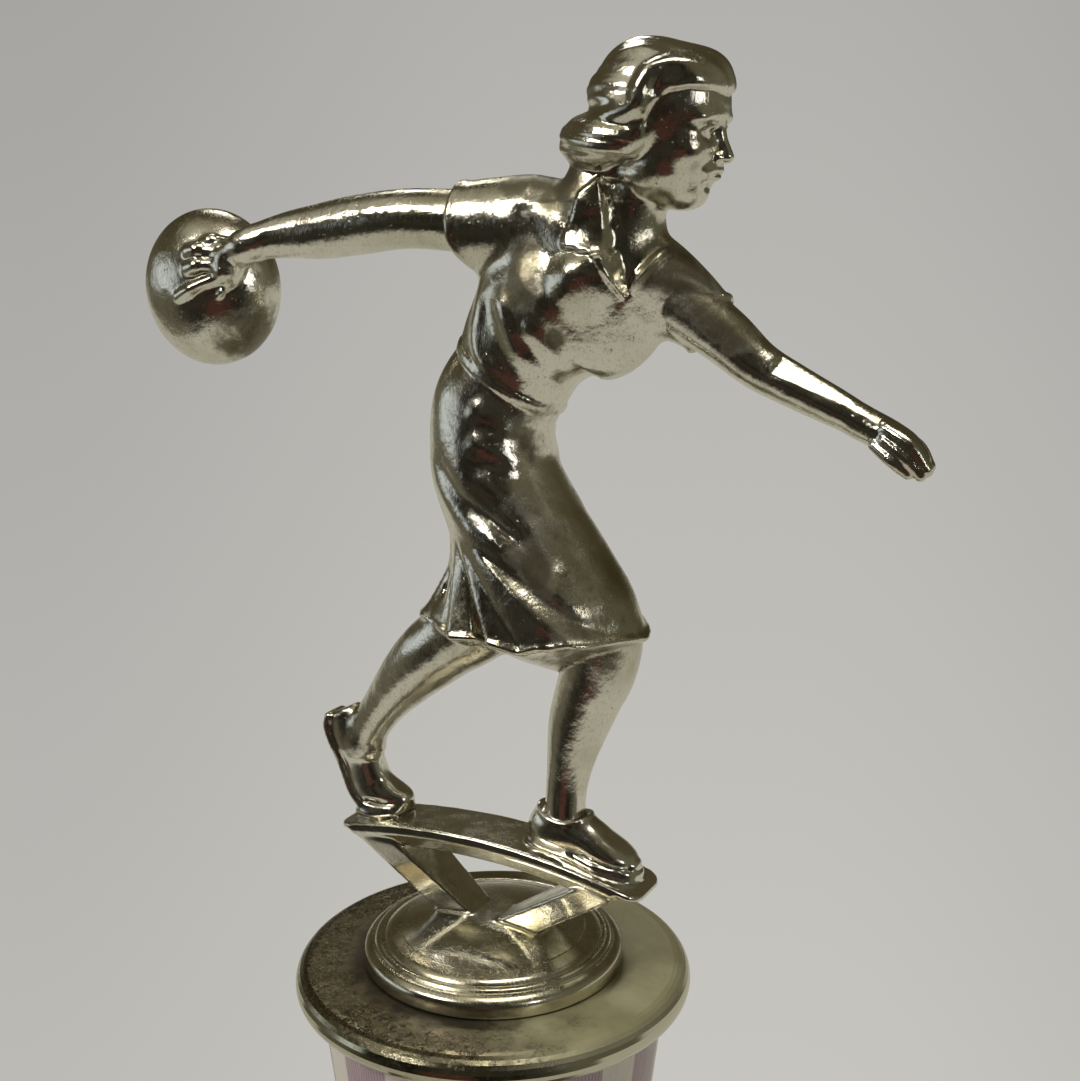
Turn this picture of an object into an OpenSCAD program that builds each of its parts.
// Bowling trophy: a plated casting of a bowler on a tapered striped column and a walnut base,
// all held together by one tie rod. Millimetres, +Z up, +X the way the bowler faces.
// The origin is the centre of the underside of the felt pad, on the tie rod's axis.

/* [Base] */
// Length of the walnut base, along X
base_l = 96; // [84:1:130]
// Width of the walnut base, along Y
base_w = 72; // [62:1:100]
// Height of the walnut base
base_h = 25; // [20:1:40]
// Size of the bevel round the top of the base
base_bevel = 4; // [2:0.5:6]
// Thickness of the felt under the base
felt_t = 1.5; // [1:0.5:3]

/* [Column] */
// Height of the column, from the collar's web to the cap
column_h = 90; // [60:1:160]
// Radius of the column at its top
column_r = 27.2; // [24:0.1:27.5]
// How much the column's radius shrinks per millimetre going down
column_taper = 0.115; // [0.05:0.005:0.12]
// Thickness of the striped plastic sleeve
sleeve_t = 0.6; // [0.4:0.1:1]
// Wall of the fibreboard core
core_wall = 3; // [2:0.5:4]

/* [Cap] */
// Outer radius of the plated cap
cap_r = 30.5; // [30:0.1:34]
// Depth of the cap's rolled edge
cap_depth = 5.2; // [4:0.1:7]
// Thickness of the cap's sheet
cap_t = 0.8; // [0.6:0.1:1.2]

/* [Figure] */
// Height of the casting, from its disc's underside to the top of the head
figure_h = 134.6; // [125:0.1:150]
// Radius of the casting's round disc
disc_r = 20; // [19.5:0.1:24]
// Radius of the bowling ball
ball_r = 11.6; // [9:0.1:12]

/* [Tie rod] */
// Radius of the tie rod, a quarter-inch rod
rod_r = 3.175; // [2.5:0.005:3.2]
// Pitch of the rod's thread
rod_pitch = 1.27; // [1:0.01:1.5]

/* [Hidden] */
$fn = 96;

eps = 0.01;
hole_clearance = 0.35;
rod_hole_r = rod_r + hole_clearance;
cap_clearance = 0.08;
thread_clearance = 0.05;
thread_depth = 0.6;
thread_len = 16;

base_top = felt_t + base_h;
web_t = 1;
column_bottom = base_top + web_t;
column_top = column_bottom + column_h;
cap_top = column_top + cap_t;
column_foot_r = column_r - column_taper * column_h;

// Casting: the disc and the openwork stand under the bowler
disc_side_h = 2.4;
disc_top_z = 7.0;
disc_wall = 2;
boss_r = 6.5;
socket_depth = 6;
deck_half_l = 26.2;
deck_half_w = 5;
deck_z = 20.2;
deck_arch_r = 110;
deck_t = 3.7;
strut_in = 2.2;
strut_out = 8.9;

// Base hardware
recess_r = 12;
recess_h = 11;
washer_r = 10;
washer_t = 1.6;
lock_r = 5.6;
lock_t = 1.5;
nut_flats = 11.1;
nut_h = 5.6;
recess_top = felt_t + recess_h;
nut_top = recess_top - washer_t - lock_t;
rod_bottom = nut_top - nut_h - 1;
rod_top = cap_top + socket_depth - 0.5;

plate_l = 52;
plate_h = 14;
plate_t = 0.8;
plate_z = felt_t + (base_h - base_bevel) / 2;
pin_x = plate_l / 2 - 3.5;
pin_r = 0.7;
pin_head_r = 1.5;
pin_len = 6;

collar_r = 25.5;
collar_h = 6.5;
collar_curve = 6;
foot_gap = 0.15;

// A tapered round stretch from a to b
module limb(a, b, ra, rb) {
    v = b - a;
    translate(a) rotate([0, acos(v.z / norm(v)), atan2(v.y, v.x)])
        cylinder(h = norm(v), r1 = ra, r2 = rb);
}

module ball_at(p, r) {
    translate(p) sphere(r);
}

// A chain of limbs with a knuckle at each point; each point is [position, radius]
module chain(points) {
    for (i = [0 : len(points) - 2])
        limb(points[i][0], points[i + 1][0], points[i][1], points[i + 1][1]);
    for (p = points)
        ball_at(p[0], p[1] + 0.3);
}

module torso() {
    chain([[[1, 0, 76], 9.3], [[3.4, 0, 87.8], 7.2], [[8.5, 0, 99], 8.6]]);
    chain([[[8.5, 0, 99], 8.6], [[20.5, -0.5, 99], 7.8]]);
    chain([[[6.5, -1, 110.3], 6.2], [[29.5, 1.5, 102.6], 5.9]]);
    limb([3, 0, 88.4], [4.4, 0, 90.2], 8.3, 8.3);
}

module head() {
    limb([19.5, 0, 107], [24.5, 0, 118], 4.8, 4.1);
    ball_at([25.2, 0, 125.2], 9.2);
    ball_at([29.2, 0, 119], 4.9);
    chain([[[17.2, -2.5, 121.3], 4.7], [[17.2, 2.5, 121.3], 4.7]]);
}

module skirt() {
    limb([0.6, 0, 77], [7.6, 0, 54.5], 9.4, 14.4);
    limb([3, 1, 72], [20.5, 2.4, 57.5], 8, 6.2);
    ball_at([20.5, 2.4, 57.5], 6.3);
}

module arms() {
    chain([[[6.5, -1, 110.3], 5.2], [[-5, -2.5, 111.4], 4.5], [[-20, -3, 110.4], 4.2],
        [[-37, -4, 106.6], 3.1], [[-44, -5, 103.5], 3]]);
    ball_at([-47, -3, 101], ball_r);
    chain([[[29.5, 1.5, 102.6], 5.2], [[40.4, 1.8, 93], 3.7], [[56, 1.2, 85.7], 2.7],
        [[61, 1, 82.4], 2.3]]);
}

module legs() {
    chain([[[-1.5, -3.6, 55], 5.6], [[-9, -3.4, 47.4], 5], [[-20.6, -1.6, 34.4], 3.3],
        [[-20.4, 0, 22.4], 3.1]]);
    limb([-22, -1.4, 33], [-26.4, -1.3, 34.2], 3, 2);
    limb([-20.4, 0, 21.8], [-16.6, 0.2, 21.2], 2.9, 2.1);
    chain([[[19, 2.6, 55], 5.8], [[13.8, 2.2, 41.5], 4.8], [[11.2, 1.6, 23.8], 3.3],
        [[22, 0, 20.2], 2.9]]);
}

// The stand's outline seen from the side, before the deck's arch is cut
module stand_prism() {
    rotate([90, 0, 0]) linear_extrude(2 * deck_half_w, center = true) polygon([
        [-deck_half_l, deck_z + 1], [-deck_half_l, 17.3], [-strut_out, 5],
        [strut_out, 5], [deck_half_l, 17.3], [deck_half_l, deck_z + 1]
    ]);
}

// The three-cornered window between the two struts and the deck
module stand_window() {
    rotate([90, 0, 0]) linear_extrude(2 * deck_half_w + 2, center = true) polygon([
        [-13.4, 15.4], [-strut_in, 7.2], [0, 5.7], [strut_in, 7.2], [13.4, 15.4], [0, deck_z - deck_t]
    ]);
}

module stand() {
    difference() {
        intersection() {
            stand_prism();
            translate([0, 0, deck_z - deck_arch_r]) rotate([90, 0, 0])
                cylinder(h = 4 * deck_half_w, r = deck_arch_r, center = true, $fn = 360);
            union() {
                cube([2 * (deck_half_l - deck_half_w), 2 * deck_half_w, 3 * deck_z], center = true);
                for (side = [-1, 1])
                    translate([side * (deck_half_l - deck_half_w), 0, 0])
                        cylinder(h = 3 * deck_z, r = deck_half_w - eps, center = true);
            }
        }
        stand_window();
    }
}

// The stepped disc, hollow below round a tapped boss
module disc() {
    difference() {
        rotate_extrude() polygon([
            [0, 0], [disc_r, 0], [disc_r, disc_side_h], [disc_r - 1.2, 3.2], [disc_r - 2, 2.9],
            [disc_r - 2.4, 3.7], [disc_r - 3.1, 4.1], [9, 6.2], [4, disc_top_z], [0, disc_top_z]
        ]);
        difference() {
            translate([0, 0, -1]) cylinder(h = 1 + 1.9, r = disc_r - disc_wall);
            translate([0, 0, -2]) cylinder(h = 8, r = boss_r);
        }
    }
}

module bowler_figure() {
    grow = (figure_h - deck_z) / (134.6 - deck_z);
    color("silver") translate([0, 0, cap_top]) difference() {
        union() {
            disc();
            stand();
            translate([0, 0, deck_z]) scale(grow) translate([0, 0, -deck_z]) {
                torso();
                head();
                skirt();
                arms();
                legs();
            }
        }
        translate([0, 0, -1]) cylinder(h = socket_depth + 1, r = rod_r + thread_clearance);
    }
}

// A quarter-round rim, as [radius, height] points from the top inwards
function rim(r, depth, t, n = 10) = [
    for (i = [0 : n])
        let (a = 90 - 155 * i / n)
        [r - depth / 2 + (depth / 2 - t) * cos(a), -depth / 2 + (depth / 2 - t) * sin(a)]
];

module column_cap() {
    outer = rim(cap_r, cap_depth, 0);
    inner = rim(cap_r, cap_depth, cap_t);
    turned = [for (i = [len(inner) - 1 : -1 : 0]) inner[i]];
    color("darkkhaki") translate([0, 0, cap_top]) difference() {
        rotate_extrude() polygon(concat([[0, 0]], outer, turned, [[0, -cap_t]]));
        translate([0, 0, -cap_t - 1]) cylinder(h = cap_t + 2, r = rod_r + cap_clearance);
    }
}

// A tapered tube along the column, between two offsets inwards from its outer face
module column_shell(outside, inside) {
    difference() {
        cylinder(h = column_h, r1 = column_foot_r - outside, r2 = column_r - outside);
        if (inside > 0)
            translate([0, 0, -eps * column_h])
                cylinder(h = column_h * (1 + 2 * eps),
                    r1 = column_foot_r - inside - column_taper * eps * column_h,
                    r2 = column_r - inside + column_taper * eps * column_h);
    }
}

module column_sleeve() {
    color("thistle") translate([0, 0, column_bottom]) column_shell(0, sleeve_t);
}

module column_core() {
    color("tan") translate([0, 0, column_bottom]) column_shell(sleeve_t, sleeve_t + core_wall);
}

// A turned wooden plug that fills the core from z0 to z1 above the column's foot
module plug(z0, z1) {
    inner_foot_r = column_foot_r - sleeve_t - core_wall;
    translate([0, 0, column_bottom + z0]) difference() {
        cylinder(h = z1 - z0, r1 = inner_foot_r + column_taper * z0, r2 = inner_foot_r + column_taper * z1);
        translate([0, 0, -1]) cylinder(h = z1 - z0 + 2, r = rod_hole_r);
    }
}

module top_plug() {
    color("burlywood") plug(column_h - 10, column_h);
}

module bottom_plug() {
    color("burlywood") plug(0, 12);
}

module bottom_collar() {
    lip_r = column_foot_r + column_taper * (collar_h - web_t) + foot_gap;
    flange_t = collar_h - collar_curve;
    flare = [for (i = [0 : 12])
        let (a = 90 * i / 12)
        [lip_r + 0.8 + collar_curve * (1 - cos(a)), collar_h - collar_curve * sin(a)]];
    color("silver") translate([0, 0, base_top]) difference() {
        rotate_extrude() polygon(concat([[0, 0], [0, collar_h], [lip_r + 0.8, collar_h]], flare,
            [[collar_r, flange_t], [collar_r, 0]]));
        translate([0, 0, web_t]) cylinder(h = collar_h, r1 = column_foot_r + foot_gap,
            r2 = column_foot_r + foot_gap + column_taper * collar_h);
        translate([0, 0, -1]) cylinder(h = collar_h, r = rod_hole_r);
    }
}

// A block with a bevel along its top edges in one direction
module bevelled_prism(length, width, height, bevel) {
    rotate([90, 0, 90]) linear_extrude(length, center = true) polygon([
        [-width / 2, 0], [width / 2, 0], [width / 2, height - bevel], [width / 2 - bevel, height],
        [-width / 2 + bevel, height], [-width / 2, height - bevel]
    ]);
}

module pin_sites() {
    for (side = [-1, 1])
        translate([side * pin_x, -base_w / 2, plate_z]) rotate([90, 0, 0]) children();
}

module walnut_base() {
    color("saddlebrown") difference() {
        translate([0, 0, felt_t]) intersection() {
            bevelled_prism(base_l, base_w, base_h, base_bevel);
            rotate(90) bevelled_prism(base_w, base_l, base_h, base_bevel);
        }
        translate([0, 0, felt_t - 1]) cylinder(h = recess_h + 1, r = recess_r);
        cylinder(h = base_top + 1, r = rod_hole_r);
        pin_sites() translate([0, 0, plate_t - pin_len]) cylinder(h = pin_len, r = pin_r);
    }
}

module felt_pad() {
    color("darkolivegreen") translate([-base_l / 2 + 2, -base_w / 2 + 2, 0])
        cube([base_l - 4, base_w - 4, felt_t]);
}

module nameplate() {
    color("lightgray") difference() {
        translate([-plate_l / 2, -base_w / 2 - plate_t, plate_z - plate_h / 2])
            cube([plate_l, plate_t, plate_h]);
        pin_sites() translate([0, 0, -1]) cylinder(h = plate_t + 2, r = pin_r + 0.1);
    }
}

module nameplate_pins() {
    color("goldenrod") pin_sites() {
        translate([0, 0, plate_t - pin_len + 0.2]) cylinder(h = pin_len - 0.1, r = pin_r);
        translate([0, 0, plate_t]) cylinder(h = 0.7, r1 = pin_head_r, r2 = 0.6);
    }
}

// Thread flanks from z0 over a length, as [radius, height] points
function thread(z0, length) = [
    for (i = [0 : floor(length / rod_pitch) - 1], k = [0, 1])
        k == 0 ? [rod_r - thread_depth, z0 + i * rod_pitch] : [rod_r, z0 + (i + 0.5) * rod_pitch]
];

module tie_rod() {
    length = rod_top - rod_bottom;
    color("lightsteelblue") translate([0, 0, rod_bottom]) rotate_extrude() polygon(concat(
        [[0, 0]], thread(0, thread_len), [[rod_r, thread_len], [rod_r, length - thread_len]],
        thread(length - thread_len, thread_len), [[0, length]]));
}

module flat_washer() {
    color("gainsboro") translate([0, 0, recess_top - washer_t]) difference() {
        cylinder(h = washer_t, r = washer_r);
        translate([0, 0, -1]) cylinder(h = washer_t + 2, r = rod_hole_r);
    }
}

module lock_washer() {
    color("gainsboro") translate([0, 0, nut_top]) difference() {
        cylinder(h = lock_t, r = lock_r);
        translate([0, 0, -1]) cylinder(h = lock_t + 2, r = rod_hole_r);
        translate([0, -0.4, -1]) cube([lock_r + 1, 0.8, lock_t + 2]);
    }
}

module clamp_nut() {
    color("gainsboro") translate([0, 0, nut_top - nut_h]) difference() {
        cylinder(h = nut_h, r = nut_flats / 2 / cos(30), $fn = 6);
        translate([0, 0, -1]) cylinder(h = nut_h + 2, r = rod_r + thread_clearance);
    }
}

bowler_figure();
column_cap();
column_sleeve();
column_core();
top_plug();
bottom_plug();
bottom_collar();
walnut_base();
felt_pad();
nameplate();
nameplate_pins();
tie_rod();
flat_washer();
lock_washer();
clamp_nut();
